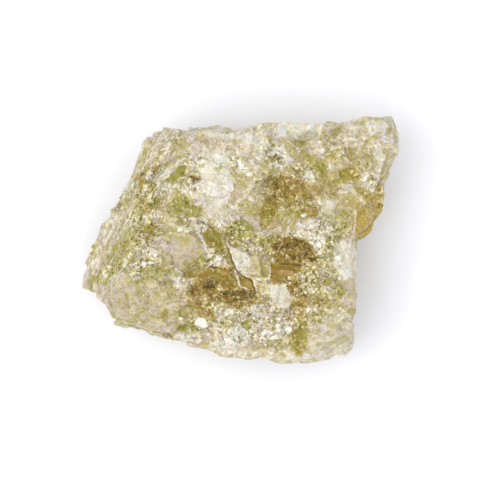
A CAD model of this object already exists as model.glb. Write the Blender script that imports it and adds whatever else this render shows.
import math

import bmesh
import bpy
import numpy as np
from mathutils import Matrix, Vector, noise


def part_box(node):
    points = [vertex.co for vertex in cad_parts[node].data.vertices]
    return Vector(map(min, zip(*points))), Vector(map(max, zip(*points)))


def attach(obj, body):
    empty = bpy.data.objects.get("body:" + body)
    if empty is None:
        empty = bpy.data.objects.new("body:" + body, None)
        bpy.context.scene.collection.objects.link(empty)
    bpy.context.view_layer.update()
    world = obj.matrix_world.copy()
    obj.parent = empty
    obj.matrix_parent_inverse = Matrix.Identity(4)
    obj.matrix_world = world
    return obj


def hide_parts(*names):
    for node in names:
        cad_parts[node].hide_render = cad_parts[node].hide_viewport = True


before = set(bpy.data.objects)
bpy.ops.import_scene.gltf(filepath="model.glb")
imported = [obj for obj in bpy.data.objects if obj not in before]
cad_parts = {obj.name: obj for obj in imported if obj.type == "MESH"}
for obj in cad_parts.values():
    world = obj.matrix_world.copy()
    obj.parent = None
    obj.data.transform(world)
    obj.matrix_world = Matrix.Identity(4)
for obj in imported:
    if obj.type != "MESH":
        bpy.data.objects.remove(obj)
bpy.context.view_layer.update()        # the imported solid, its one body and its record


# ----------------------------------------------------------------------
# The camera. It stands straight above the stone, far enough off that the stone's height
# hardly changes its outline, with the stone's length along the width of its view.

MM = 0.001  # the scene is in metres, and the stone's own sizes are in millimetres
VIEW_HEIGHT = 0.5
OUTLINE_HEIGHT = 7 * MM
VIEW_PIXELS, PIXELS_PER_MM = 480, 7
VIEW_WIDTH = VIEW_PIXELS / PIXELS_PER_MM * MM  # at the height of the stone's outline
SENSOR_WIDTH = 36.0


def put(name, data):
    """A new object in the scene, which holds a camera, a light or a mesh."""
    made = bpy.data.objects.new(name, data)
    bpy.context.scene.collection.objects.link(made)
    return made


lens = bpy.data.cameras.new("overhead")
lens.sensor_width = SENSOR_WIDTH
lens.lens = SENSOR_WIDTH * (VIEW_HEIGHT - OUTLINE_HEIGHT) / VIEW_WIDTH
camera = put("overhead", lens)
camera.location = (0.0, 0.0, VIEW_HEIGHT)
bpy.context.scene.camera = camera
bpy.context.scene.view_settings.view_transform = "Standard"


# ----------------------------------------------------------------------
# The light. A white tent all round, one broad soft panel to the lower left, and three
# small weak lamps that only show as glints on the cleavage faces.

TENT_STRENGTH = 0.965
PANEL_PLACE = (-0.31, -0.07, 0.66)
PANEL_SIZE = 0.56
PANEL_POWER = 1.8
GLINT_LAMPS = (
    ((-0.34, 0.20, 0.60), 0.12),
    ((0.10, -0.36, 0.62), 0.12),
    ((0.30, 0.26, 0.60), 0.08),
)
GLINT_SIZE = 0.03


def round_lamp(name, place, size, power):
    """A round flat lamp at a place in metres, turned to the stone."""
    light = bpy.data.lights.new(name, "AREA")
    light.shape = "DISK"
    light.size = size
    light.energy = power
    lamp = put(name, light)
    lamp.location = place
    lamp.rotation_euler = (-Vector(place)).to_track_quat("-Z", "Y").to_euler()


tent = bpy.data.worlds.new("tent")
tent.use_nodes = True
glow = tent.node_tree.nodes["Background"]
glow.inputs["Color"].default_value = (1.0, 1.0, 1.0, 1.0)
glow.inputs["Strength"].default_value = TENT_STRENGTH
bpy.context.scene.world = tent

round_lamp("panel", PANEL_PLACE, PANEL_SIZE, PANEL_POWER)
for lamp_place, lamp_power in GLINT_LAMPS:
    round_lamp("glint_lamp", lamp_place, GLINT_SIZE, lamp_power)


# ----------------------------------------------------------------------
# The sheet. One large square of plain, matt white paper, laid flat under the stone and lit
# until it is all but blank, so that only the stone's soft shadow shows on it.

SHEET_REACH = 1.2
PAPER = (0.920, 0.930, 0.985, 1.0)

sheet_mesh = bpy.data.meshes.new("sheet")
shape = bmesh.new()
bmesh.ops.create_grid(shape, x_segments=1, y_segments=1, size=SHEET_REACH)
shape.to_mesh(sheet_mesh)
shape.free()
paper = bpy.data.materials.new("paper")
paper.use_nodes = True
paper_shader = paper.node_tree.nodes["Principled BSDF"]
paper_shader.inputs["Base Color"].default_value = PAPER
paper_shader.inputs["Roughness"].default_value = 1.0
paper_shader.inputs["Specular IOR Level"].default_value = 0.0
sheet_mesh.materials.append(paper)
sheet = put("sheet", sheet_mesh)


# ----------------------------------------------------------------------
# The stone. One hand-sized lump of bytownite feldspar, a mass of interlocked grains broken
# out with a hammer, so its skin is thousands of small flat cleavage faces. The skin is a
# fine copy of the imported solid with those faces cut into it, and its tones are in the rock.

# Corners and hollows of the outline, sharper than the solid's. Each has its place, across,
# up and, where it isn't the same at every height, high; its reach; and its pull.
CORNERS = (
    # The horn: its tip, the lean of the tip's north face, its notches and its lower end.
    ((21.7, 17.4), 2.4, (0.10, 0.12)),
    ((21.2, 17.6, 13.8), 4.2, (-0.10, -0.80)),
    ((21.9, 9.8), 2.4, (-0.32, 0.05)),
    ((19.2, 0.0), 1.8, (-0.70, 0.25)),
    ((18.7, 1.9), 1.6, (0.30, -0.24)),
    # The east wall and the south-east corner.
    ((16.8, -4.0), 2.4, (-0.30, 0.0)),
    ((16.9, -8.0), 2.2, (-0.46, 0.0)),
    ((16.6, -13.0), 1.8, (-0.28, 0.0)),
    ((16.6, -15.5), 2.0, (-0.46, 0.18)),
    ((13.5, -16.9), 1.6, (-0.05, 0.38)),
    # The south rim, from east to west.
    ((7.0, -17.4), 3.0, (0.0, -0.32)),
    ((-1.2, -16.8), 2.0, (0.0, 0.18)),
    ((-4.4, -16.0), 1.9, (0.08, 0.40)),
    ((-7.0, -15.1), 1.1, (-0.04, -0.30)),
    ((-8.8, -14.5), 1.4, (0.08, 0.40)),
    ((-10.7, -14.1), 1.4, (-0.05, -0.36)),
    ((-13.3, -13.3), 1.8, (0.12, 0.46)),
    ((-17.5, -12.0), 1.4, (0.34, 0.34)),
    ((-19.2, -9.8), 1.8, (0.20, 0.18)),
    # The west tip and the long flank above it.
    ((-22.3, -6.4), 1.6, (-0.16, -0.30)),
    ((-21.8, -2.6), 1.8, (0.38, -0.12)),
    ((-20.7, 0.0), 1.4, (0.44, -0.22)),
    ((-19.4, 2.4), 1.8, (-0.24, 0.18)),
    ((-14.4, 13.0), 1.4, (0.30, -0.10)),
    ((-13.3, 14.5), 1.2, (-0.26, 0.24)),
    # The north rim.
    ((-11.9, 15.5), 1.3, (0.14, -0.36)),
    ((-6.9, 16.2), 1.2, (0.0, -0.32)),
    ((2.2, 16.6), 1.4, (0.0, -0.20)),
    ((14.0, 17.2), 2.6, (0.0, -0.42)),
)

FINE_VOXEL = 0.18
MELT = 0.5  # how far each pass softens the solid's own coarse faces
MELT_PASSES = 10
TRIANGLES = 192000

# Grain: size of a grain's face, its lean, its step, and an offset into the noise.
FINE_GRAINS = (
    (2.7, 0.080, 0.11, 5.0),
    (1.3, 0.110, 0.07, 19.0),
    (0.62, 0.170, 0.04, 61.0),
)
GRAIN_STRAY = 0.35  # how far a grain's outline strays from straight, of its size
LEAN_SEED, LEVEL_SEED = 911.0, 577.0
STRAY_SEED = 3  # of the noise that bends the grains' outlines, the same each run
STEEP, STEEP_RELIEF = (0.15, 0.55), 0.45  # what is near upright, and the relief kept there

# The crown, the broken upper side: how far its faces lean up, and the heights it begins at.
CROWN_LEAN, CROWN_HEIGHT = (0.05, 0.35), (5.0, 8.0)
CROWN_STRAY = 0.1

# The resting face, which is left flat: how far it leans down, and the heights it ends at.
RESTING_LEAN, RESTING_HEIGHT = (0.9, 0.98), (0.6, 0.3)

# The long sloping flank on the west side: its bearing, how far out it begins, and its lean.
FLANK_BEARING = math.radians(156.0)
FLANK_EDGE, FLANK_LEAN = (11.5, 14.5), (-0.3, 0.1)
FLANK_CALM = 0.5  # how much of the grains' relief is missing from it

# Ridges of parted layers down the flank: pitch, height, and an offset.
FLANK_LAYERS = ((1.25, 0.16, 3.0), (0.62, 0.09, 8.0))
LAYER_DIP = 0.5  # how far a layer shifts sideways with height
LAYER_STRAY = 0.9


def applied(mesh, name, *modifiers):
    """A new mesh: the old one with these modifiers, each a type and its settings, applied."""
    holder = put(name, mesh)
    for kind, settings in modifiers:
        modifier = holder.modifiers.new(kind.title(), kind)
        for key, value in settings.items():
            setattr(modifier, key, value)
    bpy.context.view_layer.update()
    graph = bpy.context.evaluated_depsgraph_get()
    made = bpy.data.meshes.new_from_object(holder.evaluated_get(graph))
    bpy.data.objects.remove(holder)
    bpy.data.meshes.remove(mesh)
    made.name = name
    return made


def merged_copy(node):
    """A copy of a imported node's mesh with its loose triangles joined."""
    shape = bmesh.new()
    shape.from_mesh(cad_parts[node].data)
    bmesh.ops.remove_doubles(shape, verts=shape.verts, dist=1e-6)
    mesh = bpy.data.meshes.new(node + "_fine")
    shape.to_mesh(mesh)
    shape.free()
    return mesh


def read_points(mesh):
    """The mesh's points in millimetres, and its outward normals."""
    points = np.empty(len(mesh.vertices) * 3)
    normals = np.empty(len(mesh.vertices) * 3)
    mesh.vertices.foreach_get("co", points)
    mesh.vertex_normals.foreach_get("vector", normals)
    return points.reshape(-1, 3) / MM, normals.reshape(-1, 3)


def write_points(mesh, points):
    mesh.vertices.foreach_set("co", (points * MM).astype(np.float32).ravel())
    mesh.update()


def smooth_step(low, high, value):
    """0 at the low value, 1 at the high one, and a smooth rise or fall between."""
    share = np.clip((value - low) / (high - low), 0.0, 1.0)
    return share * share * (3.0 - 2.0 * share)


def cloud(points, size, offset, octaves=2):
    """Soft noise from about -1 to 1 at each point, with lumps of the given size."""
    shift = Vector((offset, offset * 1.7, offset * 0.6))
    places = (Vector(point) / size + shift for point in points)
    return np.array([noise.fractal(place, 1.0, 2.0, octaves) for place in places])


def grain_faces(points, size, lean, step, offset):
    """Height of a skin of flat grains, each leaning its own way at its own level."""
    heights = np.empty(len(points))
    shift = Vector((offset, offset * 0.7, offset * 1.3))
    for index, point in enumerate(points):
        place = Vector(point) / size + shift
        place += noise.noise_vector(place * 1.7) * GRAIN_STRAY
        seed = noise.voronoi(place)[1][0]
        spin = noise.cell_vector(seed * LEAN_SEED) * 2.0 - Vector((1.0, 1.0, 1.0))
        level = noise.cell(seed * LEVEL_SEED) - 0.5
        heights[index] = level * step + spin.dot(place - seed) * lean * size
    return heights - heights.mean()


def out_west(points):
    """How far a point lies out along the flank's bearing."""
    return points[:, 0] * math.cos(FLANK_BEARING) + points[:, 1] * math.sin(FLANK_BEARING)


def west_flank(points, normals):
    """How much a point belongs to the flank, 0 to 1."""
    return smooth_step(*FLANK_EDGE, out_west(points)) * smooth_step(*FLANK_LEAN, normals[:, 2])


def parted_layers(points, pitch, height, offset):
    """Height of saw-toothed ridges across the flank's bearing."""
    across = out_west(points) + LAYER_DIP * points[:, 2]
    across = across + cloud(points, size=3.5, offset=offset) * LAYER_STRAY
    tooth = across / pitch + offset
    return (tooth - np.floor(tooth) - 0.5) * height


def crown_share(points, normals):
    """How much a point belongs to the crown, 0 to 1."""
    lean = cloud(points, size=2.0, offset=55.0) * CROWN_STRAY + normals[:, 2]
    return smooth_step(*CROWN_LEAN, lean) * smooth_step(*CROWN_HEIGHT, points[:, 2])


def fit_to_box(points, low, high):
    """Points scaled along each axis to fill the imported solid's box."""
    own_low, own_high = points.min(axis=0), points.max(axis=0)
    return low + (points - own_low) * (high - low) / (own_high - own_low)


def drawn_out(points, place, reach, pull):
    """The points, with those near a place moved along a pull, least at the reach."""
    near = smooth_step(reach, 0.0, np.linalg.norm(points[:, :len(place)] - place, axis=1))
    return points + near[:, None] * np.array((*pull, 0.0))


# Plates: single large cleavage faces with crisp borders on the crown. Each has how far it
# lies above its surroundings, its tones, and its outline across and up the crown.
PLATES = (
    # The wedge and the face either side of the crack in the middle, and the face below it.
    (-0.14, {"stain": 0.42, "olive": 0.75, "clear": 0.6, "broken": 0.6}, (
        (-5.4, 0.9), (-4.0, 1.8), (-2.9, 0.9), (-2.1, -0.1), (-1.5, -1.4), (-1.0, -2.5),
        (-0.6, -4.0), (-1.3, -4.2), (-2.3, -2.3), (-3.7, -1.2), (-4.6, -0.7))),
    (-0.08, {"stain": 0.92, "olive": 0.4, "tint": 0.6, "clear": 0.5, "broken": 0.5}, (
        (-4.6, -4.6), (-3.6, -3.8), (-1.5, -4.0), (-0.9, -4.6), (-0.4, -5.6), (-0.1, -6.7),
        (-1.5, -6.9), (-3.2, -6.4), (-3.6, -5.6))),
    (-0.16, {"stain": 0.9, "tint": 0.7, "clear": 0.9}, (
        (-0.2, -4.5), (0.6, -4.7), (1.9, -5.6), (2.1, -7.0), (0.3, -6.9), (0.0, -5.6))),
    (-0.10, {"stain": 1.0, "umber": 0.7, "clear": 0.5, "broken": 0.5}, (
        (-2.2, -7.2), (0.2, -7.0), (2.4, -7.2), (1.6, -8.2), (0.4, -8.6), (-1.8, -8.7))),
    (0.08, {"chalk": 0.72, "tint": 0.2, "clear": 0.7, "broken": 0.35}, (
        (-1.6, -0.8), (-0.2, -1.6), (1.4, -2.2), (1.2, -3.8), (0.2, -4.4), (-0.4, -4.0),
        (-1.0, -2.5))),
    (0.05, {"chalk": 0.34, "olive": 0.3, "tint": 0.4, "clear": 0.7, "broken": 0.3}, (
        (0.3, -4.5), (1.2, -3.6), (1.5, -2.4), (3.4, -1.6), (4.6, -2.6), (4.1, -3.4),
        (4.1, -5.2), (3.0, -5.6), (1.9, -5.3))),
    # The stained faces in the middle of the crown, and the glassy plate below them.
    (-0.10, {"stain": 0.58, "tint": 0.6, "clear": 1.0}, (
        (4.3, -3.4), (5.2, -3.2), (5.9, -3.6), (6.0, -5.6), (5.2, -6.0), (4.5, -5.4))),
    (-0.10, {"stain": 0.8, "clear": 0.6, "broken": 0.4}, (
        (6.0, -3.6), (8.6, -3.4), (8.2, -4.6), (6.6, -5.0), (6.0, -4.6))),
    (-0.12, {"stain": 0.88, "umber": 0.35, "tint": 0.7, "broken": 0.9}, (
        (4.4, -0.9), (5.6, -0.1), (6.4, -0.8), (7.0, -0.1), (9.2, 0.2), (10.2, -0.8),
        (11.3, -2.4), (10.6, -3.0), (8.8, -2.6), (7.0, -2.3), (5.8, -1.6), (4.8, -2.0))),
    (0.06, {"chalk": 0.85, "clear": 1.0}, (
        (4.1, -6.3), (5.4, -6.1), (6.3, -6.4), (6.8, -7.6), (7.4, -8.1), (7.1, -9.2),
        (5.9, -9.6), (4.8, -8.7), (4.2, -7.6))),
    # The stained faces to the north-east and the pale ones beside them.
    (-0.10, {"stain": 0.5, "tint": 1.0, "ochre": 0.35, "broken": 0.7}, (
        (4.6, 8.0), (5.6, 8.7), (7.8, 8.9), (7.6, 8.0), (6.6, 7.3), (6.7, 6.0), (5.8, 5.9),
        (5.6, 7.2))),
    (-0.06, {"stain": 0.32, "tint": 0.9, "clear": 0.8, "broken": 0.3}, (
        (7.9, 7.4), (10.9, 7.6), (11.0, 6.2), (9.2, 6.1), (8.2, 6.5))),
    (-0.06, {"stain": 0.46, "clear": 0.4, "broken": 0.6}, (
        (8.7, 4.4), (9.6, 5.2), (10.5, 5.0), (11.0, 3.9), (10.6, 3.4), (9.4, 3.7))),
    (-0.06, {"stain": 0.35, "olive": 0.8, "broken": 0.5}, (
        (2.8, 2.2), (3.4, 4.4), (4.2, 5.6), (4.8, 5.4), (4.5, 3.6), (3.9, 1.8), (3.2, 1.2))),
    (0.06, {"chalk": 0.9, "broken": 0.6}, (
        (8.2, 8.2), (8.8, 9.2), (9.8, 9.8), (10.6, 8.3), (10.2, 8.1), (9.4, 8.7))),
    (0.04, {"chalk": 0.65, "clear": 0.8}, (
        (11.0, 5.0), (12.0, 6.0), (13.6, 5.9), (13.2, 4.4), (12.2, 3.4), (11.2, 4.0))),
    (0.04, {"chalk": 0.45, "clear": 0.5, "broken": 0.4}, (
        (14.2, 7.6), (15.2, 8.4), (16.2, 7.8), (16.4, 6.2), (15.4, 5.9), (14.6, 6.6))),
    # The wall of the horn.
    (0.0, {"ochre": 0.8, "stain": 0.16, "olive": 0.3, "clear": 0.7, "broken": 0.5}, (
        (16.7, 3.8), (17.6, 4.4), (19.4, 4.6), (19.8, 3.4), (18.9, 1.2), (17.8, 0.2),
        (16.4, 0.2), (16.5, 2.0))),
    (0.0, {"ochre": 0.35, "tint": 0.6, "olive": 0.5, "chalk": 0.12, "broken": 0.8}, (
        (16.9, 7.6), (18.6, 6.6), (20.4, 7.4), (20.2, 4.6), (17.6, 4.4), (16.8, 5.4))),
    # The clear grains on the west of the crown, the pale band and the olive face beside it.
    (0.05, {"clear": 1.0, "tint": 0.2}, (
        (-9.6, -0.9), (-8.0, 0.6), (-6.6, 0.7), (-5.4, -0.4), (-4.8, -1.6), (-5.6, -2.4),
        (-7.2, -2.6), (-8.6, -3.4), (-9.4, -3.0), (-9.8, -1.8))),
    (0.05, {"clear": 1.0, "chalk": 0.4, "olive": 0.22}, (
        (-11.1, 11.2), (-10.0, 12.0), (-8.6, 12.4), (-7.6, 12.1), (-8.4, 11.2), (-9.4, 10.2),
        (-10.4, 9.7))),
    (0.08, {"clear": 0.5, "chalk": 0.75, "broken": 0.3}, (
        (-12.2, 8.6), (-10.6, 10.0), (-9.4, 10.1), (-10.4, 8.6), (-11.0, 7.4), (-11.8, 7.6))),
    (-0.12, {"olive": 0.75, "clear": 0.7}, (
        (-10.4, 8.2), (-9.6, 9.4), (-8.4, 10.4), (-7.6, 10.3), (-8.2, 9.2), (-9.2, 8.1))),
    (-0.08, {"olive": 0.9, "tint": 0.4, "clear": 0.3, "broken": 0.3}, (
        (-10.0, 5.2), (-8.6, 6.0), (-7.4, 5.9), (-7.2, 4.7), (-5.4, 4.6), (-5.6, 3.6),
        (-7.4, 3.0), (-8.2, 4.2), (-9.6, 4.6))),
    # The southern faces: one that glares, a pale one and an olive strip.
    (0.03, {"facet": 1.0, "chalk": 0.8}, (
        (-6.5, -11.8), (-5.8, -10.9), (-4.9, -11.1), (-4.6, -12.2), (-5.4, -12.3))),
    (0.05, {"chalk": 1.0, "broken": 0.6}, (
        (-1.7, -12.5), (-0.3, -12.2), (1.1, -13.1), (0.9, -14.3), (-0.8, -14.4),
        (-1.6, -14.0))),
    (-0.06, {"stain": 0.46, "olive": 0.65, "tint": 0.3, "clear": 0.4, "broken": 0.4}, (
        (7.4, -12.6), (9.4, -12.2), (9.2, -13.6), (8.8, -14.6), (9.0, -16.2), (8.2, -16.4),
        (7.6, -15.6), (7.8, -13.6))),
    # Large even grains at the edges of the crown: south-east, east and north.
    (0.02, {"clear": 0.8, "chalk": 0.52, "olive": 0.22, "tint": 0.1, "broken": 0.35}, (
        (9.7, -12.2), (11.4, -11.6), (13.6, -11.2), (15.2, -12.0), (17.2, -12.6),
        (17.4, -17.2), (13.0, -18.6), (10.0, -17.8), (9.4, -14.8))),
    (0.0, {"clear": 0.8, "chalk": 0.78, "tint": 0.22, "broken": 0.4}, (
        (14.0, -1.6), (15.0, -1.0), (16.4, -1.2), (18.6, -0.8), (18.6, -5.6), (16.2, -5.5),
        (15.0, -4.8), (14.6, -3.4))),
    (0.0, {"clear": 0.6, "chalk": 0.6, "olive": 0.15, "tint": 0.25, "broken": 0.4}, (
        (-5.0, 15.2), (-1.6, 14.4), (3.4, 14.9), (3.4, 17.4), (-5.0, 17.4))),
    (0.0, {"clear": 0.6, "chalk": 0.78, "tint": 0.25, "broken": 0.45}, (
        (5.6, 15.0), (8.0, 14.4), (11.2, 14.8), (11.6, 17.8), (5.6, 17.8))),
)
PLATE_STRAY = 0.26  # how far a plate's border strays from straight
PLATE_BORDER = 0.12  # how far to either side of its border a plate fades
PLATE_CALM = 0.6  # how much of the grains' relief is missing from a clear plate
FAR = 10.0  # further than any border or line matters


def to_line(plan, start, end):
    """From the nearest place on a straight line to each point: the gap, and its length."""
    run = np.subtract(end, start)
    along = np.clip((plan - start) @ run / (run @ run), 0.0, 1.0)
    gap = plan - start - along[:, None] * run
    return gap, np.hypot(*gap.T)


def plate_share(points, outline):
    """1 inside an outline on the crown and 0 outside, with a crisp but uneven border."""
    corners = np.array(outline)
    low, high = corners.min(axis=0) - 0.5, corners.max(axis=0) + 0.5
    near = np.all((points[:, :2] > low) & (points[:, :2] < high), axis=1)
    plan = points[near, :2].copy()
    for axis, offset in enumerate((71.0, 83.0)):
        plan[:, axis] += cloud(points[near], size=0.8, offset=offset) * PLATE_STRAY
    inside = np.zeros(len(plan), dtype=bool)
    away = np.full(len(plan), FAR)
    for start, end in zip(corners, np.roll(corners, -1, axis=0)):
        away = np.minimum(away, to_line(plan, start, end)[1])
        run = end - start
        level = (plan[:, 1] - start[1]) / (run[1] or 1e-9)
        inside ^= (level >= 0.0) & (level < 1.0) & (plan[:, 0] < start[0] + level * run[0])
    share = np.zeros(len(points))
    share[near] = smooth_step(-PLATE_BORDER, PLATE_BORDER, np.where(inside, away, -away))
    return share


noise.seed_set(STRAY_SEED)
box_low, box_high = (np.array(corner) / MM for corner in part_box("bytownite"))
skin = applied(
    merged_copy("bytownite"),
    "bytownite_skin",
    ("REMESH", {"mode": "VOXEL", "voxel_size": FINE_VOXEL * MM}),
    ("SMOOTH", {"factor": MELT, "iterations": MELT_PASSES}),
)
points, normals = read_points(skin)
flank_share = west_flank(points, normals)
relief = np.zeros(len(points))
for size, lean, step, offset in FINE_GRAINS:
    relief += grain_faces(points, size, lean, step, offset)
relief *= 1.0 - FLANK_CALM * flank_share
crown = crown_share(points, normals)
for height, own_tones, outline in PLATES:
    share = plate_share(points, outline) * crown
    relief = relief * (1.0 - PLATE_CALM * share * own_tones.get("clear", 0.0)) + share * height
for pitch, height, offset in FLANK_LAYERS:
    relief += parted_layers(points, pitch, height, offset) * flank_share
resting = smooth_step(*RESTING_LEAN, -normals[:, 2])
resting = resting * smooth_step(*RESTING_HEIGHT, points[:, 2])
relief *= 1.0 - resting
relief *= STEEP_RELIEF + (1.0 - STEEP_RELIEF) * smooth_step(*STEEP, np.abs(normals[:, 2]))
write_points(skin, points + normals * relief[:, None])
faces = sum(len(face.vertices) - 2 for face in skin.polygons)
skin = applied(
    skin, "bytownite_skin", ("DECIMATE", {"ratio": min(1.0, TRIANGLES / faces)})
)
points, normals = read_points(skin)
points = fit_to_box(points, box_low, box_high)
for corner in CORNERS:
    points = drawn_out(points, *corner)
points = fit_to_box(np.clip(points, box_low, box_high), box_low, box_high)
write_points(skin, points)

# Tones in the rock, as soft patches of each kind. A patch has its place across and up the
# crown, half its length and width, its strength and, if it lies aslant, its degrees.
PATCHES = {}

# Iron stain, brown, in the hollows where water stood.
PATCHES["stain"] = (
    (6.8, 7.5, 2.6, 1.5, 0.74),
    (9.6, 6.6, 1.8, 1.2, 0.56),
    (10.0, 4.0, 1.2, 0.7, 0.72, -10),
    (4.0, 4.2, 2.6, 1.1, 0.7, 72),
    (7.6, -1.2, 3.0, 1.5, 0.74, -12),
    (6.3, -3.7, 2.1, 1.6, 0.85, 10),
    (9.9, -2.2, 1.7, 0.9, 0.66, -35),
    (4.8, -4.4, 1.0, 1.1, 0.8),
    (7.6, -6.4, 1.0, 1.2, 0.64, 60),
    (-4.2, -5.8, 2.1, 1.4, 0.96, 8),
    (-1.6, -5.5, 1.6, 1.5, 0.75),
    (0.9, -6.6, 1.6, 1.2, 0.8, -30),
    (-1.3, -7.9, 1.4, 0.8, 0.92),
    (-3.2, -7.8, 2.2, 0.8, 0.68),
    (0.0, -8.4, 2.2, 0.9, 0.94),
    (2.8, -8.3, 1.2, 0.8, 0.5),
    (7.4, 4.9, 1.2, 0.8, 0.4),
    (-6.3, -8.2, 1.8, 1.1, 0.8, -50),
    (-6.9, -4.9, 1.3, 0.5, 0.6),
    (-2.7, -0.3, 2.4, 0.8, 0.66, -52),
    (-1.6, -1.0, 1.3, 0.5, 0.5, -60),
    (-4.6, -10.5, 1.6, 0.8, 0.5, -10),
    (7.6, -10.2, 1.2, 0.9, 0.45, -30),
    (-12.5, 1.3, 1.4, 1.2, 0.4, 60),
    (-13.9, 8.8, 0.9, 0.7, 0.72, 60),
    (-11.8, 10.4, 1.0, 0.6, 0.4, 60),
    (-6.3, 8.7, 0.8, 0.6, 0.45),
    (8.1, -8.6, 1.3, 1.0, 0.9),
    (10.9, -8.6, 0.8, 0.7, 0.55),
    (8.0, -11.2, 1.1, 0.7, 0.5, -20),
    (8.4, -14.6, 1.9, 1.0, 0.3, 80),
    (7.8, -13.2, 1.2, 0.9, 0.55, 80),
    (-16.3, -1.8, 2.4, 0.7, 0.48, 66),
    (5.0, -5.7, 1.0, 0.6, 0.6),
    (-0.7, -5.3, 1.2, 0.8, 1.0, -55),
    (-13.3, 4.6, 1.1, 0.8, 0.45),
    (-8.0, 2.5, 0.9, 0.6, 0.35),
    (12.8, -8.4, 1.2, 0.9, 0.2),
    (17.0, 6.6, 1.0, 0.6, 0.3, 70),
    (12.7, -8.3, 1.0, 0.8, 0.3),
)

# A faint gold tint where iron has soaked in.
PATCHES["tint"] = (
    (7.5, 7.0, 6.0, 3.6, 0.8, 10),
    (14.5, 10.5, 5.0, 2.6, 0.7, -20),
    (17.6, 4.4, 4.6, 2.2, 0.85, 76),
    (7.0, -2.4, 4.8, 3.4, 0.9, -20),
    (-2.2, -6.4, 5.5, 2.8, 0.9, -12),
    (-11.5, 5.0, 4.2, 2.4, 0.4),
    (-2.6, 0.4, 4.0, 1.8, 0.6, -35),
    (8.8, -13.0, 3.4, 1.6, 0.75, 85),
    (11.6, -8.2, 3.0, 1.8, 0.4),
    (-13.4, -9.6, 5.6, 2.2, 0.36, -12),
    (-7.2, -9.5, 3.2, 2.0, 0.6, -40),
    (9.5, 12.8, 3.6, 2.0, 0.45, -20),
    (15.4, 4.8, 1.6, 1.0, 0.8, 80),
    (20.8, 14.6, 2.0, 1.4, 0.7),
    (20.8, 11.4, 3.0, 1.4, 0.75, 80),
    (15.4, 12.6, 1.6, 1.2, 0.7),
    (2.6, -3.2, 2.0, 1.4, 0.5),
    (-0.2, -0.6, 1.3, 1.0, 0.6),
    (-5.4, 2.2, 1.4, 1.0, 0.6),
    (-5.4, -8.2, 1.5, 1.0, 0.8),
    (11.2, 9.0, 2.4, 1.6, 0.6),
    (15.0, 1.6, 1.6, 1.6, 0.65),
    (18.0, 12.2, 2.0, 1.4, 0.55),
    (20.6, 13.6, 1.6, 1.2, 0.6),
    (11.0, 10.0, 2.0, 1.0, 0.6),
    (-0.2, -8.4, 2.0, 0.9, 0.9),
    (-10.6, -3.0, 1.4, 1.0, 0.6),
)

# Ochre skin over the wall of the horn.
PATCHES["ochre"] = (
    (18.0, 3.8, 3.4, 1.5, 0.86, 66),
    (18.9, 5.6, 2.0, 1.0, 0.34, 66),
    (15.4, 9.4, 1.6, 0.9, 0.5),
    (20.5, 10.2, 1.4, 0.7, 0.2, 70),
)

# Olive, where the feldspar is clear and the dark minerals show through.
PATCHES["olive"] = (
    (-13.4, 5.2, 2.0, 1.3, 0.62),
    (-8.5, 4.6, 1.8, 1.4, 0.8),
    (-9.2, 8.8, 1.7, 1.0, 0.6, 45),
    (-12.7, 1.4, 1.6, 1.4, 0.54, 60),
    (-15.8, -0.2, 4.4, 1.6, 0.66, 66),
    (-18.8, -4.2, 2.8, 1.1, 0.8, 66),
    (-16.4, -1.6, 3.2, 1.1, 1.0, 66),
    (-15.8, -8.2, 1.2, 0.9, 0.5),
    (-14.2, -3.4, 2.6, 1.2, 0.45),
    (-8.6, 13.6, 1.8, 0.9, 0.4, 60),
    (9.0, 12.4, 2.2, 1.2, 0.35, -35),
    (11.0, 10.2, 1.4, 0.8, 0.7),
    (15.0, 9.0, 1.8, 0.9, 0.65),
    (14.2, 2.2, 2.0, 0.9, 0.5, 80),
    (16.6, 12.4, 3.0, 0.8, 0.45),
    (-13.4, 7.4, 1.5, 1.0, 0.6),
    (-5.6, -3.2, 1.4, 0.8, 0.6),
    (12.0, 14.6, 1.6, 0.8, 0.4),
    (2.5, 4.4, 1.9, 1.0, 0.34, 80),
    (4.4, 11.6, 1.9, 1.0, 0.65, 90),
    (1.2, 11.2, 1.2, 0.8, 0.32, 90),
    (0.0, 8.2, 1.2, 0.7, 0.22, 90),
    (-0.1, 1.6, 2.0, 1.3, 0.75),
    (3.4, -0.2, 1.8, 1.0, 0.75),
    (7.2, 3.4, 2.2, 1.2, 0.4),
    (-11.5, -4.6, 4.2, 0.8, 0.6),
    (-7.3, -12.4, 1.4, 0.9, 0.6),
    (-9.6, -10.4, 1.4, 0.8, 0.55),
    (-15.2, -11.6, 1.6, 1.0, 0.4),
    (-14.2, -9.8, 1.4, 0.9, 0.4),
    (11.8, -5.6, 2.4, 0.9, 0.3, -15),
    (12.9, -0.2, 1.0, 0.8, 0.6),
    (-0.2, -0.2, 1.2, 0.8, 0.4),
    (13.4, -7.3, 1.5, 0.9, 0.55),
    (11.2, -11.0, 1.6, 1.0, 0.5),
    (8.5, -13.4, 2.2, 1.0, 0.75, 80),
    (0.8, -12.0, 0.8, 0.7, 0.9),
    (4.9, -15.0, 1.4, 0.7, 0.4),
    (12.8, -8.3, 1.0, 0.7, 0.36),
    (-3.0, 10.2, 1.1, 0.8, 0.55),
    (-8.0, 2.3, 1.3, 0.8, 0.5),
    (4.6, 15.1, 1.0, 0.7, 0.45),
    (-21.2, -5.4, 1.4, 0.8, 0.5, 66),
    (10.4, -13.4, 1.3, 1.0, 0.6),
    (13.2, -13.2, 1.2, 0.8, 0.35),
)

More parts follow.
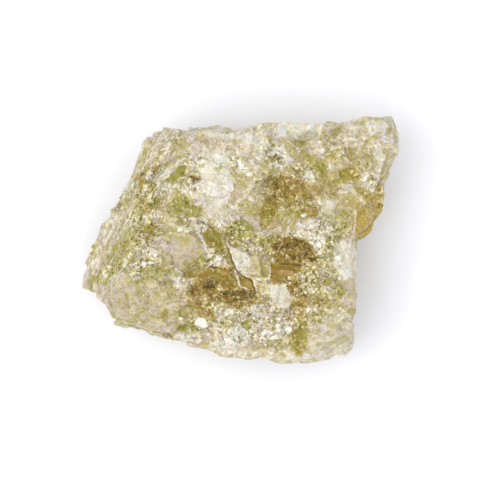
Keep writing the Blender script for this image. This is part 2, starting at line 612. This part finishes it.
# Chalky white, where the feldspar is bruised, crushed or weathered.
PATCHES["chalk"] = (
    (-3.2, 8.4, 4.6, 2.4, 0.8, 85),
    (-2.2, 7.4, 1.4, 1.0, 0.95),
    (-3.6, 3.9, 1.8, 1.6, 0.6),
    (2.1, 14.4, 1.9, 1.3, 0.86),
    (15.4, 14.8, 1.7, 1.1, 0.6),
    (3.4, 12.4, 4.6, 1.1, 0.45),
    (2.4, 7.6, 1.4, 1.2, 0.5),
    (-5.6, 2.6, 1.8, 0.9, 0.6),
    (-2.7, 2.6, 1.4, 0.9, 0.75),
    (-13.0, -9.2, 4.6, 2.6, 0.42, -14),
    (15.6, -8.2, 1.0, 1.6, 0.45),
    (-3.0, -14.2, 1.4, 0.8, 0.25),
    (2.3, 12.1, 1.3, 0.9, 0.5, -40),
    (6.0, 12.2, 2.4, 0.7, 0.6, -50),
    (0.9, 9.6, 1.0, 0.8, 0.5),
    (0.4, -2.9, 1.8, 0.9, 0.7, -68),
    (2.6, -2.4, 1.9, 1.2, 0.28, 60),
    (-3.3, -3.0, 1.6, 0.7, 0.5),
    (5.5, -7.4, 1.8, 1.0, 0.78, 10),
    (-5.6, -11.6, 0.9, 0.6, 1.0, -30),
    (-0.3, -13.3, 1.5, 1.4, 1.0, 70),
    (2.4, -9.6, 1.4, 0.7, 0.5, 30),
    (4.8, -12.6, 2.0, 1.0, 0.65, 20),
    (6.7, -12.4, 1.1, 0.4, 0.6, -60),
    (-1.6, -15.4, 2.6, 1.0, 0.7, -12),
    (4.4, -16.0, 3.6, 0.8, 0.4),
    (9.2, -16.6, 3.6, 0.8, 0.76),
    (12.8, -15.6, 3.4, 1.6, 0.6, -12),
    (13.2, -10.9, 2.4, 1.3, 0.45),
    (15.1, -2.6, 2.8, 1.8, 0.9, 85),
    (10.8, -0.2, 1.1, 0.9, 0.9, -20),
    (11.7, 4.6, 1.5, 1.1, 0.65),
    (9.5, 1.9, 1.8, 1.0, 0.6),
    (12.5, 6.5, 1.2, 0.7, 0.4, 30),
    (-8.9, 10.9, 3.1, 0.6, 0.65, 50),
    (-12.5, 13.0, 2.2, 1.2, 0.3, 60),
    (-6.2, 1.6, 2.8, 0.6, 0.55, -15),
    (-10.6, 7.3, 1.5, 0.8, 0.9, 30),
    (-6.6, 6.6, 1.6, 0.9, 0.35),
    (-11.2, -2.3, 1.6, 0.7, 0.4, -20),
    (-8.8, -8.3, 1.4, 0.7, 0.4, 20),
    (-12.6, -6.6, 3.0, 1.2, 0.25),
    (-13.0, -3.2, 1.4, 1.0, 0.35),
    (-15.4, 2.6, 1.2, 1.0, 0.4, 60),
    (20.4, 10.2, 1.2, 1.0, 0.4, 80),
    (17.4, 8.9, 1.0, 0.5, 0.9, 65),
    (18.5, 7.2, 0.5, 0.4, 1.0),
    (19.0, 15.9, 2.6, 1.0, 0.74),
    (20.0, 12.4, 4.2, 2.0, 0.58, 80),
    (21.8, 13.0, 4.4, 0.9, 0.66, 86),
    (18.0, 7.6, 1.2, 0.9, 0.6, 60),
    (15.4, 12.6, 1.1, 0.8, 0.25),
    (14.2, -16.2, 2.6, 0.9, 0.86),
    (15.2, -15.6, 1.4, 1.2, 0.95),
    (15.5, -12.4, 0.9, 1.2, 0.4),
    (-8.0, -13.5, 1.5, 0.8, 0.5, -10),
    (-10.9, 9.9, 1.2, 0.9, 1.0, 45),
    (-10.6, 15.0, 1.2, 0.7, 0.5, 60),
    (1.0, 9.8, 1.6, 0.9, 0.55),
    (7.6, 15.4, 1.6, 0.8, 1.0),
    (-0.2, 4.8, 1.2, 0.9, 0.4),
    (-5.4, 4.7, 1.2, 0.8, 0.4),
    (10.3, 5.2, 1.0, 0.7, 0.6),
    (7.6, 12.6, 1.2, 0.8, 0.45),
    (-21.6, -3.8, 2.0, 0.5, 0.4, 66),
    (10.6, 12.6, 1.6, 1.2, 0.6),
    (13.0, 10.3, 1.3, 0.8, 0.6),
    (0.6, 10.2, 2.0, 1.2, 0.5),
    (5.0, 10.3, 1.2, 0.8, 0.6),
    (8.8, -1.4, 0.7, 0.4, 0.8, -50),
    (6.4, -2.4, 0.6, 0.4, 0.6, 80),
    (-2.6, -11.2, 1.0, 0.6, 0.25),
    (-5.4, 12.6, 1.2, 1.0, 0.4),
    (2.4, 12.6, 1.2, 0.9, 0.4),
    (18.0, 15.2, 1.2, 1.0, 0.6),
    (15.4, 2.2, 0.8, 1.0, 0.25),
    (12.8, 2.2, 1.0, 0.8, 0.45),
    (12.8, 7.4, 1.2, 0.8, 0.2),
    (15.8, 12.8, 1.6, 1.0, 0.55),
    (2.4, 5.4, 1.4, 1.2, 0.5),
    (-8.0, -5.4, 1.7, 1.2, 0.65),
    (-15.9, 7.2, 1.6, 0.9, 1.0, 66),
    (-18.2, 2.0, 2.8, 1.1, 0.66, 60),
    (-21.0, -3.4, 2.6, 0.8, 0.55, 66),
    (-10.4, -10.9, 1.2, 0.8, 0.35),
    (-1.4, 15.2, 4.4, 1.1, 0.6),
    (8.0, 15.3, 3.8, 1.2, 0.92),
    (19.2, 12.9, 1.6, 0.8, 0.62),
    (17.0, 16.4, 2.4, 0.9, 0.3),
    (10.8, 13.8, 1.6, 0.6, 0.4),
)

# Umber, where the stain is thickest, in pits.
PATCHES["umber"] = (
    (6.6, -0.9, 0.7, 0.35, 0.9, -20),
    (9.0, -2.2, 1.0, 0.35, 0.8, -12),
    (8.2, -0.3, 1.1, 0.3, 0.8, 5),
    (-4.2, -6.1, 1.1, 0.6, 0.8, 20),
    (-1.6, -7.5, 0.6, 0.35, 1.0, 5),
    (0.5, -7.6, 0.5, 0.4, 0.7),
    (5.5, 7.9, 0.9, 0.3, 0.6, 55),
    (8.7, -5.8, 0.6, 0.4, 0.6, 80),
    (-5.9, -4.4, 0.5, 0.3, 0.7, 45),
    (-6.8, -7.4, 0.6, 0.3, 0.8, -50),
    (-0.4, -5.6, 0.9, 0.5, 0.6, -50),
)

# Bright cleavage faces that catch the light.
PATCHES["facet"] = (
    (-8.3, -11.0, 0.3, 0.2, 0.9),
    (17.6, 8.7, 0.6, 0.22, 1.0, 52),
    (18.6, 7.0, 0.38, 0.28, 0.9),
    (-2.0, 7.4, 0.6, 0.22, 0.8, -28),
    (-1.8, -14.1, 0.6, 0.22, 0.9, -23),
    (-1.2, -13.3, 0.4, 0.18, 0.8, -45),
    (-13.5, -3.3, 0.34, 0.24, 1.0, 45),
    (3.4, -12.9, 0.6, 0.25, 0.9, 68),
    (4.6, -13.7, 0.6, 0.18, 0.9, 24),
    (6.9, -12.6, 0.45, 0.3, 1.0, -10),
    (-0.1, 10.6, 0.4, 0.18, 0.8, -9),
    (-3.1, 6.6, 0.3, 0.18, 0.7),
    (8.8, 3.4, 0.36, 0.2, 0.9, 18),
    (11.1, -0.8, 0.45, 0.22, 0.9, -32),
    (1.2, 9.2, 0.4, 0.25, 0.8, 18),
    (8.9, -1.0, 0.34, 0.18, 0.8, -50),
    (6.6, -2.4, 0.36, 0.22, 0.7, 80),
    (-0.5, -12.8, 0.5, 0.26, 0.9, -30),
    (-0.2, -13.3, 0.9, 0.34, 0.7, -20),
    (0.4, -13.7, 0.4, 0.22, 0.9, 20),
    (9.6, -9.8, 0.36, 0.24, 0.9, 90),
    (-8.4, 1.4, 0.3, 0.25, 0.9),
    (-10.4, 7.2, 0.3, 0.25, 0.9),
    (-5.2, 11.0, 0.45, 0.25, 0.8, 34),
)

# Finely broken ground, all small faces and crevices.
PATCHES["broken"] = (
    (1.0, -9.2, 11.5, 4.2, 0.74),
    (8.2, -2.6, 4.4, 6.4, 1.0),
    (-1.0, -2.6, 5.0, 4.2, 0.8),
    (-3.0, 1.8, 4.6, 1.5, 0.85),
    (-12.6, 5.0, 8.4, 2.4, 0.8, 75),
    (-13.6, -2.6, 2.4, 1.8, 0.9, 30),
    (-7.2, 8.8, 1.6, 2.8, 0.75),
    (-0.6, 10.6, 1.6, 1.0, 0.7),
    (4.8, 12.2, 1.8, 1.4, 1.0, -40),
    (9.0, 9.4, 1.8, 1.4, 0.9),
    (5.4, 7.4, 2.0, 1.8, 0.7),
    (9.2, 4.8, 2.8, 2.0, 0.8),
    (13.2, 0.8, 2.2, 1.7, 0.8),
    (17.2, 9.2, 3.6, 1.0, 1.0, -48),
    (13.0, 12.8, 2.4, 1.2, 0.45),
    (-18.8, -5.0, 2.2, 1.4, 0.8, 60),
    (-16.6, -3.2, 3.0, 0.8, 0.8, 62),
    (-14.4, -9.5, 1.2, 1.0, 0.6),
    (5.0, -13.0, 3.4, 1.8, 0.8),
    (-1.4, -13.2, 2.4, 1.2, 0.6),
)

# Clear grains and plates, glassy and even, with few flakes.
PATCHES["clear"] = (
    (-7.5, -0.9, 2.6, 2.0, 0.9, -20),
    (-13.5, -8.6, 7.0, 2.8, 0.9, -14),
    (-9.0, -12.4, 3.4, 1.0, 0.6),
    (-3.6, 4.3, 2.2, 1.8, 0.8),
    (2.0, 3.4, 2.0, 1.8, 0.7),
    (18.2, 3.8, 3.6, 1.6, 1.0, 66),
    (6.8, 2.6, 3.0, 1.4, 0.7),
    (13.0, -12.6, 3.0, 2.2, 0.7),
    (5.4, -7.3, 1.6, 1.1, 0.9, 10),
    (15.4, -5.5, 1.2, 4.0, 0.8),
    (-3.6, -5.6, 2.4, 1.3, 0.6, -12),
    (5.8, -4.0, 1.6, 1.4, 0.6),
    (8.0, 15.2, 6.0, 1.1, 0.9),
    (-2.0, 15.2, 4.6, 1.2, 0.9),
    (19.4, 15.6, 3.0, 1.6, 0.8),
    (21.6, 12.4, 4.6, 1.0, 1.0, 84),
    (15.8, -8.0, 1.0, 1.6, 0.9),
    (-12.0, 13.6, 2.2, 1.4, 0.7, 60),
    (16.0, 10.2, 3.6, 1.8, 0.5),
    (-3.2, 8.4, 5.0, 2.6, 0.6, 85),
    (19.4, 12.0, 4.0, 2.2, 0.5, 70),
)

PATCH_FADE = (1.45, 0.60)  # where a patch ends and where it is full, of its half size
PATCH_STRAY = ((1.4, 0.28, 7.0), (0.5, 0.18, 31.0))  # size, share of the patch, offset

# The same kinds all through the rock, for the sides and the underside: size of a cloud,
# the level it starts at, the level it is full at, its strength and an offset.
THROUGH_ROCK = {
    "stain": (6.5, 0.18, 0.55, 0.70, 101.0),
    "tint": (8.0, -0.15, 0.45, 0.70, 121.0),
    "ochre": (9.0, 0.25, 0.60, 0.42, 141.0),
    "olive": (4.0, 0.00, 0.45, 0.60, 181.0),
    "chalk": (5.0, 0.05, 0.50, 0.65, 221.0),
    "umber": (2.4, 0.38, 0.60, 0.70, 301.0),
    "facet": (0.8, 0.60, 0.70, 0.60, 341.0),
    "clear": (3.5, -0.10, 0.35, 0.80, 261.0),
    "broken": (5.5, -0.20, 0.40, 0.90, 381.0),
}
FRESH = 0.9  # how much stain and ochre are missing from the flank, which parted last
PLATE_TONE = 0.85  # how far a plate takes on its own tones
TONE_KEPT = 0.3  # how much is left, on a plate, of the tones it doesn't name

# Lines on the crown: half width, how unbroken the line is, and the line's points. Bruised
# edges of broken plates are pale, and the cracks that run beside some of them are dark.
EDGE_LINES = (
    (0.13, 0.9, ((-1.8, -0.3), (-1.3, -1.4), (-1.0, -2.5), (-0.5, -3.8), (0.0, -4.4))),
    (0.15, 0.8, ((0.0, -4.4), (0.8, -4.9), (1.9, -5.5), (2.2, -6.2), (2.3, -6.9))),
    (0.11, 0.9, ((-0.7, -4.7), (-0.3, -5.4), (-0.1, -6.0), (0.1, -6.5), (1.0, -6.9))),
    (0.12, 0.8, ((1.9, -5.5), (3.0, -5.6), (4.0, -5.4), (4.2, -4.5), (4.1, -3.4), (4.7, -2.7))),
    (0.15, 0.3, ((6.6, 1.3), (6.7, 0.8), (7.5, 0.5), (9.1, 0.2), (10.3, -0.7), (11.5, -2.9))),
    (0.13, 0.3, ((7.6, 1.0), (8.8, 0.6), (9.8, 0.7))),
    (0.12, 0.5, ((-5.8, 0.7), (-5.0, -0.3), (-4.7, -1.6))),
    (0.12, 0.5, ((6.8, 2.6), (6.7, 1.2), (6.2, 0.9))),
    (0.13, 0.4, ((5.6, -10.6), (6.5, -11.9), (7.2, -12.6))),
    (0.13, 0.2, ((-10.0, 2.4), (-8.8, 1.9), (-7.4, 1.3), (-6.0, 1.5))),
    (0.12, 0.1, ((-11.4, 9.0), (-9.6, 10.2), (-8.0, 11.3))),
    (0.12, 0.1, ((-11.4, 12.4), (-10.2, 13.0), (-8.6, 14.2))),
    (0.12, 0.2, ((-5.0, 12.9), (-5.4, 10.6), (-5.3, 8.6), (-4.9, 7.6))),
    (0.13, 0.3, ((16.3, 10.1), (17.0, 9.3), (17.7, 8.2))),
    (0.12, 0.1, ((12.4, 13.2), (13.6, 12.2), (15.6, 10.8))),
    (0.11, 0.35, ((16.1, 4.2), (16.2, 2.6), (16.0, 1.2))),
    (0.12, 0.3, ((3.4, -14.4), (4.4, -13.9), (6.2, -13.6))),
    (0.12, 0.2, ((-15.4, -1.8), (-16.2, -3.6), (-17.0, -4.8), (-17.4, -5.8))),
    (0.11, 0.2, ((-18.0, 1.6), (-18.8, 0.4), (-19.2, -0.4))),
    (0.11, 0.2, ((-18.0, -2.6), (-18.6, -4.0), (-19.4, -5.8))),
    (0.13, 0.2, ((4.2, 13.2), (5.0, 12.4), (5.8, 11.4), (6.4, 10.8))),
)
CRACK_LINES = (
    (0.13, 0.9, ((-2.2, 0.2), (-1.6, -1.0), (-1.3, -2.4), (-0.8, -3.7), (-0.3, -4.5))),
    (0.12, 0.4, ((-4.3, -3.7), (-3.3, -3.9))),
    (0.13, 0.8, ((-0.3, -4.6), (0.5, -5.0), (1.6, -5.8), (2.0, -6.8))),
    (0.12, 0.5, ((6.0, -3.4), (7.6, -3.4), (9.3, -3.7))),
    (0.13, 0.6, ((-6.75, -6.8), (-6.6, -7.3), (-6.5, -7.8))),
    (0.11, 0.3, ((-16.4, -4.2), (-17.3, -5.2), (-17.8, -6.3))),
    (0.12, 0.2, ((-7.8, 9.1), (-6.6, 8.6), (-5.4, 8.4))),
    (0.12, 0.3, ((-5.4, 2.5), (-4.4, 2.1), (-3.9, 1.6))),
    (0.12, 0.3, ((5.8, -10.9), (6.8, -12.6))),
    (0.11, 0.2, ((-10.2, -0.4), (-9.6, -2.0), (-9.4, -3.2))),
)
LINE_STRAY = ((0.8, 0.16, 71.0), (0.3, 0.05, 23.0))  # size, how far it strays, offset
LINE_REACH = (0.50, 0.30)  # how far from a line it ends, and how near it is whole
LINE_GAPS = (-0.20, 0.25)
WIDEST = 4.0  # half widths of a line

# Heights of a small and a large edge that show, each with the passes that flatten it.
PROUD_EDGES = ((3, 0.06), (24, 0.30))


def line_field(points, lines):
    """How far a point lies left or right of the nearest line, in half widths of the line,
    and 1 close to a line, falling to 0 away from it and where the line is broken."""
    plan = points[:, :2].copy()
    for size, line_stray, offset in LINE_STRAY:
        plan[:, 0] += cloud(points, size, offset) * line_stray
        plan[:, 1] += cloud(points, size, offset + 12.0) * line_stray
    nearest = np.full(len(points), FAR)
    aside = np.full(len(points), WIDEST)
    whole = np.zeros(len(points))
    for width, wholeness, line in lines:
        for start, end in zip(line, line[1:]):
            gap, away = to_line(plan, start, end)
            run = np.subtract(end, start)
            side = np.sign(run[0] * gap[:, 1] - run[1] * gap[:, 0])
            aside = np.where(away < nearest, side * away / width, aside)
            whole = np.where(away < nearest, wholeness, whole)
            nearest = np.minimum(nearest, away)
    near = smooth_step(*LINE_REACH, nearest)
    near *= smooth_step(*LINE_GAPS, cloud(points, size=0.7, offset=93.0) + whole - 0.1)
    return np.clip(aside, -WIDEST, WIDEST), near


def patch_share(points, stray, across, up, length, width, bearing=0):
    """How much each point lies within a patch of the crown, 0 to 1, with a ragged edge."""
    turn = math.radians(bearing)
    east = points[:, 0] - across
    north = points[:, 1] - up
    along = (east * math.cos(turn) + north * math.sin(turn)) / length
    aside = (north * math.cos(turn) - east * math.sin(turn)) / width
    return smooth_step(*PATCH_FADE, np.hypot(along, aside) + stray)


def eased(mesh, values, passes):
    """The values, each moved to the mean of itself and its neighbours, a number of times."""
    ends = np.empty(len(mesh.edges) * 2, dtype=np.int32)
    mesh.edges.foreach_get("vertices", ends)
    one, other = ends.reshape(-1, 2).T
    count = len(mesh.vertices)
    share = 1.0 + np.bincount(one, minlength=count) + np.bincount(other, minlength=count)
    for _ in range(passes):
        total = values + np.bincount(one, values[other], count)
        total += np.bincount(other, values[one], count)
        values = total / share
    return values


def proud_height(mesh, points, normals, passes):
    """How far each point stands out of its own surroundings, in millimetres."""
    around = [eased(mesh, points[:, axis], passes) for axis in range(3)]
    return ((points - np.array(around).T) * normals).sum(axis=1)


def store(mesh, name, values):
    """A value for each point of the mesh, that a material can read by its name."""
    layer = mesh.attributes.new(name, "FLOAT", "POINT")
    layer.data.foreach_set("value", values.astype(np.float32))


points, normals = read_points(skin)
crown = crown_share(points, normals)
flank_share = west_flank(points, normals)
stray = sum(cloud(points, size, offset) * share for size, share, offset in PATCH_STRAY)
tones = {}
for kind, (size, low, high, strength, offset) in THROUGH_ROCK.items():
    share = smooth_step(low, high, cloud(points, size, offset, octaves=3))
    tones[kind] = share * strength * (1.0 - crown)
for kind in ("stain", "ochre"):
    tones[kind] *= 1.0 - FRESH * flank_share
for kind, patches in PATCHES.items():
    for across, up, length, width, strength, *bearing in patches:
        share = patch_share(points, stray, across, up, length, width, *bearing)
        tones[kind] = np.maximum(tones[kind], share * strength * crown)
for height, own_tones, outline in PLATES:
    share = plate_share(points, outline) * crown * PLATE_TONE
    for kind in tones:
        kept = 0.0 if kind in own_tones else TONE_KEPT
        tones[kind] = tones[kind] * (1.0 - share * (1.0 - kept))
        tones[kind] += share * own_tones.get(kind, 0.0)
for kind, values in tones.items():
    store(skin, kind, values)
store(skin, "flank", flank_share)
for name, lines in (("edge", EDGE_LINES), ("crack", CRACK_LINES)):
    beside, near = line_field(points, lines)
    store(skin, name + "_beside", beside)
    store(skin, name + "_near", near * crown)
proud = sum(
    proud_height(skin, points, normals, passes) / height for passes, height in PROUD_EDGES
)
store(skin, "proud", np.clip(proud, -1.0, 1.0))


class Signal:
    """A shader socket that takes part in plain arithmetic with numbers and other signals."""

    def __init__(self, finish, socket):
        self.finish = finish
        self.socket = socket

    def out(self, name):
        """Another output of the node that this signal comes from."""
        return Signal(self.finish, self.socket.node.outputs[name])

    def math(self, operation, *others):
        """A Math node on this signal and on what else it takes."""
        values = dict(enumerate((self, *others)))
        return self.finish.node("Math", {"operation": operation}, values)

    def __add__(self, other):
        return self.math("ADD", other)

    def __sub__(self, other):
        return self.math("SUBTRACT", other)

    def __rsub__(self, other):
        return self.finish.node("Math", {"operation": "SUBTRACT"}, {0: other, 1: self})

    def __mul__(self, other):
        return self.math("MULTIPLY", other)

    __radd__ = __add__
    __rmul__ = __mul__

    def clamped(self):
        return self.math("MAXIMUM", 0.0).math("MINIMUM", 1.0)

    def step(self, low, high):
        """0 below low, 1 above high and a smooth rise between."""
        settings = {"interpolation_type": "SMOOTHSTEP"}
        values = {"Value": self, "From Min": low, "From Max": high}
        return self.finish.node("MapRange", settings, values)


class Finish:
    """A material and the nodes that feed its shader."""

    def __init__(self, name):
        self.material = bpy.data.materials.new(name)
        self.material.use_nodes = True
        self.tree = self.material.node_tree
        self.shader = self.tree.nodes["Principled BSDF"]

    def fill(self, slot, value):
        """Gives a socket a value of its own, or a link from a signal."""
        if isinstance(value, Signal):
            self.tree.links.new(value.socket, slot)
        else:
            slot.default_value = value

    def feed(self, name, value):
        """Fills a socket of the shader."""
        self.fill(self.shader.inputs[name], value)

    def node(self, kind, settings, values, output=0):
        """A node of any type, with its settings first and then its sockets' values or links."""
        made = self.tree.nodes.new("ShaderNode" + kind)
        for key, value in settings.items():
            setattr(made, key, value)
        for key, value in values.items():
            self.fill(made.inputs[key], value)
        return Signal(self, made.outputs[output])

    def vector(self, operation, *values):
        return self.node("VectorMath", {"operation": operation}, dict(enumerate(values)))

    def mixed(self, share, first, second):
        """One colour turning to another as the share goes from 0 to 1."""
        made = self.tree.nodes.new("ShaderNodeMix")
        made.data_type = "RGBA"
        for key, value in (("Factor", share), ("A", first), ("B", second)):
            slot = next(s for s in made.inputs if s.name == key and s.enabled)
            self.fill(slot, (*value, 1.0) if isinstance(value, tuple) else value)
        return Signal(self, next(s for s in made.outputs if s.enabled))

    def changed(self, colour, change, share):
        """A colour with each of its parts raised by a change times a share."""
        gain = self.vector("ADD", self.vector("MULTIPLY", change, share), (1.0, 1.0, 1.0))
        return self.vector("MULTIPLY", colour, gain)

    def attribute(self, name):
        return self.node("Attribute", {"attribute_name": name}, {}, "Fac")


TAN = (0.46, 0.398, 0.19)
BUFF = (0.5, 0.422, 0.345)
CREAM = (0.69, 0.648, 0.5)
PINKISH = (0.68, 0.592, 0.525)
GLASSY = (0.695, 0.682, 0.622)
GILT = (0.45, 0.35, 0.105)
OLIVE = (0.28, 0.255, 0.02)
GOLD = (0.303, 0.174, 0.015)
MOSS = (0.27, 0.19, 0.02)
UMBER = (0.115, 0.06, 0.009)
OCHRE = (0.45, 0.32, 0.06)
CHALKED = (0.82, 0.785, 0.65)
WHITE = (0.88, 0.865, 0.805)
FLECK = (0.84, 0.74, 0.48)
BRIGHTEST = (0.88, 0.86, 0.77)  # of any face but the white ones
LIT = (1.0, 1.03, 1.25)  # what a lit face gains
SHADE = (1.0, 1.05, 1.55)  # what a shaded face loses
HUE = (0.07, 0.0, -0.42)  # how a yellower grain differs from a greyer one

BIG, MID, SMALL, FINE = 2.2, 0.95, 0.42, 0.21  # sizes of the grains
WAVER_SCALE, WAVER = 1.1, (0.7, 0.7, 0.7)  # how the grains' borders bend
LEAF_WIDTH, LEAF_SQUEEZE = 0.38, (0.24, 1.0, 1.0)  # a leaf is four times as long as wide
LEAF_BEARING, LEAF_SPREAD = math.radians(-18.0), math.radians(70.0)
FLANK_LEAVES = math.radians(66.0)
HALF = (0.5, 0.5, 0.5)

# How rare small bright and dark faces are: none up to the first value, all from the second.
FLAKES, SPARKS, SPECKS = (0.82, 0.87), (0.89, 0.93), (0.92, 0.955)
PITS, SOOT = (0.87, 0.91), (0.89, 0.93)

feldspar = Finish("feldspar")
mixed, vector = feldspar.mixed, feldspar.vector

place = vector("MULTIPLY", feldspar.node("TexCoord", {}, {}, "Object"), (1 / MM,) * 3)
waver = feldspar.node(
    "TexNoise", {}, {"Vector": place, "Scale": WAVER_SCALE, "Detail": 1.0}, "Color"
)
waver = vector("MULTIPLY", vector("SUBTRACT", waver, HALF), WAVER)
place = vector("ADD", place, waver)


def grains(coordinates, size):
    """Random grains of a size: three values for each, and the three as one vector."""
    sockets = {"Vector": coordinates, "Scale": 1.0 / size}
    cells = feldspar.node("TexVoronoi", {}, sockets, "Color")
    values = feldspar.node("SeparateXYZ", {}, {"Vector": cells})
    return values, values.out("Y"), values.out("Z"), cells


stain, tint, ochre, olive, chalk, umber, facet, clear, broken, flank, proud = map(
    feldspar.attribute,
    "stain tint ochre olive chalk umber facet clear broken flank proud".split(),
)

big_a, big_b, big_c, _ = grains(place, BIG)
mid_a, mid_b, mid_c, mid_cells = grains(place, MID)
small_a, small_b, small_c, small_cells = grains(place, SMALL)
fine_a, fine_b, fine_c, fine_cells = grains(place, FINE)

# Lamellae: each large grain is split into thin leaves that run near one common bearing, and
# down the west flank they all run along the face.
bearing = (big_c - 0.5) * LEAF_SPREAD + LEAF_BEARING
bearing = flank * FLANK_LEAVES + (1.0 - flank) * bearing
along = feldspar.node(
    "VectorRotate", {"rotation_type": "Z_AXIS"}, {"Vector": place, "Angle": 0.0 - bearing}
)
along = vector("MULTIPLY", along, LEAF_SQUEEZE)
leaf_a, leaf_b, leaf_c, leaf_cells = grains(along, LEAF_WIDTH)


def drawn(name):
    """1 on the lines of a name, and 0 off them."""
    beside = feldspar.attribute(name + "_beside") + (small_a - 0.5) * 0.7
    thin = 1.0 - beside.math("ABSOLUTE").step(0.85, 1.45)
    return thin * feldspar.attribute(name + "_near")


edge = drawn("edge")
crack = drawn("crack")
worn = proud.math("MAXIMUM", 0.0)
sunk = (0.0 - proud).math("MAXIMUM", 0.0)

# Grain by grain: each grain is clear and tan, milky, olive or stained, and the tones of the
# rock only make one or the other more likely, so every patch breaks up along its grains.
calm = (big_b * 0.45 + clear * 0.75).step(0.40, 0.75)
busy = (0.30 + 0.85 * broken) * (1.0 - 0.75 * calm)
ground = mixed((big_a * 0.5 + mid_b * 0.5 + flank * 0.10).step(0.40, 0.60), TAN, BUFF)
ground = mixed((tint * (0.5 + 0.7 * mid_a)).clamped() * 0.9, ground, GILT)
milky = chalk * 0.85 - olive * 0.60 - stain * 0.40 - tint * 0.22
milky = milky + mid_a * (0.47 - 0.20 * clear) + small_a * busy * 0.26 + leaf_a * busy * 0.18
cream = mixed((mid_c * 0.6 + big_c * 0.4).step(0.40, 0.60), CREAM, PINKISH)
colour = mixed(milky.step(0.40, 0.78) * 0.80, ground, cream)
glassy = (chalk * 0.8 + mid_b * 0.4 + small_c * 0.2).step(0.70, 1.05) * 0.9
colour = mixed(glassy, colour, GLASSY)
green = olive * 0.87 + mid_c * 0.46 + small_b * 0.25 - chalk * 0.45 - stain * 0.1
colour = mixed(green.step(0.52, 0.80) * 0.76, colour, OLIVE)
streak = leaf_c.step(0.50, 0.70) * (0.08 + flank * 0.56)
colour = mixed(streak.clamped(), colour, OLIVE)
rosy = leaf_a.step(0.62, 0.72) * flank * 0.50 * (1.0 - 0.6 * olive)
colour = mixed(rosy, colour, PINKISH)
colour = mixed((ochre + mid_a * 0.4 - 0.2).step(0.10, 0.60), colour, OCHRE)
rusty = stain * 1.20 + (mid_b - 0.5) * 0.40 + (small_a - 0.5) * (0.20 + busy * 0.30)
rust = mixed((mid_a * 0.6 + small_c * 0.4 + olive * 0.3).step(0.50, 0.80), GOLD, MOSS)
colour = mixed(rusty.step(0.15, 0.80) * 0.92, colour, rust)
dark = umber * 0.62 + stain * 0.42 + (small_b - 0.5) * busy * 0.40 + (mid_c - 0.5) * 0.30
colour = mixed((dark + sunk * 0.15).step(0.50, 0.80) * 0.85, colour, UMBER)
colour = mixed((sunk * (0.25 + 0.3 * olive)).clamped(), colour, OLIVE)
bruised = worn.step(0.62, 1.0) * (0.05 + 0.45 * small_c + 0.2 * chalk) * (0.3 + 0.7 * busy)
colour = mixed(bruised, colour, CHALKED)

# Small faces catch more or less of the light, most of all where the rock is finely broken.
flake = leaf_b.step(*FLAKES)
spark = small_b.step(*SPARKS)
speck = fine_b.step(*SPECKS) * (1.0 - 0.5 * flank)
lit = (flake * 0.46 + spark * 0.52 + speck * 1.08) * busy * (1.0 - 0.35 * stain)
lit = lit + (small_a - 0.5) * (0.04 + busy * 0.20)
lit = lit + (leaf_a - 0.5) * (0.10 + busy * 0.12)
lit = lit + (fine_c - 0.5) * (0.09 + busy * 0.15)
colour = feldspar.changed(colour, LIT, lit)
shade = (small_c.step(*PITS) * 0.50).math("MAXIMUM", fine_a.step(*SOOT) * 0.56) * busy
colour = feldspar.changed(colour, SHADE, 0.0 - shade)
hue = ((small_b - 0.5) * 0.7 + (mid_c - 0.5) * 0.5) * (1.0 - 0.4 * clear) * (1.0 - 0.3 * stain)
colour = feldspar.changed(colour, HUE, hue)
colour = vector("MINIMUM", colour, BRIGHTEST)

# Over them lie the white flecks, the dark cracks, the bruised edges and the glaring faces.
white = (speck * 0.60 + spark * 0.32 + flake * 0.15) * busy * (1.0 - 0.5 * stain)
fleck = mixed(stain.clamped(), WHITE, FLECK)
colour = mixed(white.clamped(), colour, fleck)
colour = mixed(crack * (0.60 + 0.30 * small_b), colour, UMBER)
colour = mixed(edge * (0.40 + 0.50 * small_c), colour, CHALKED)
glare = (facet + (small_a - 0.5) * 0.5).step(0.40, 0.50)
colour = mixed(glare * (0.75 + 0.25 * mid_b), colour, WHITE)
feldspar.feed("Base Color", colour)

rough = 0.14 + small_c * 0.30 + chalk * 0.20 + fine_c * 0.12
feldspar.feed("Roughness", rough * (1.0 - 0.5 * glare))

# Each grain and leaf faces a little its own way, further where the rock is finely broken.
facing = feldspar.node("NewGeometry", {}, {}, "Normal")
even = 0.5 + 0.9 * busy
for cells, lean in (
    (mid_cells, 0.32 * even), (small_cells, 0.34 * even), (fine_cells, 0.30 * even),
    (leaf_cells, 0.04 + 0.26 * busy),
):
    turn = vector("MULTIPLY", vector("SUBTRACT", cells, HALF), lean)
    facing = vector("ADD", facing, turn)
feldspar.feed("Normal", vector("NORMALIZE", facing))
feldspar.feed("IOR", 1.57)
feldspar.feed("Specular IOR Level", 0.3)
feldspar.feed("Subsurface Weight", 0.06)
feldspar.feed("Subsurface Radius", (1.0, 0.8, 0.5))
feldspar.feed("Subsurface Scale", 0.8 * MM)
skin.materials.append(feldspar.material)

stone = put("bytownite_stone", skin)
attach(stone, "root")
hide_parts("bytownite")
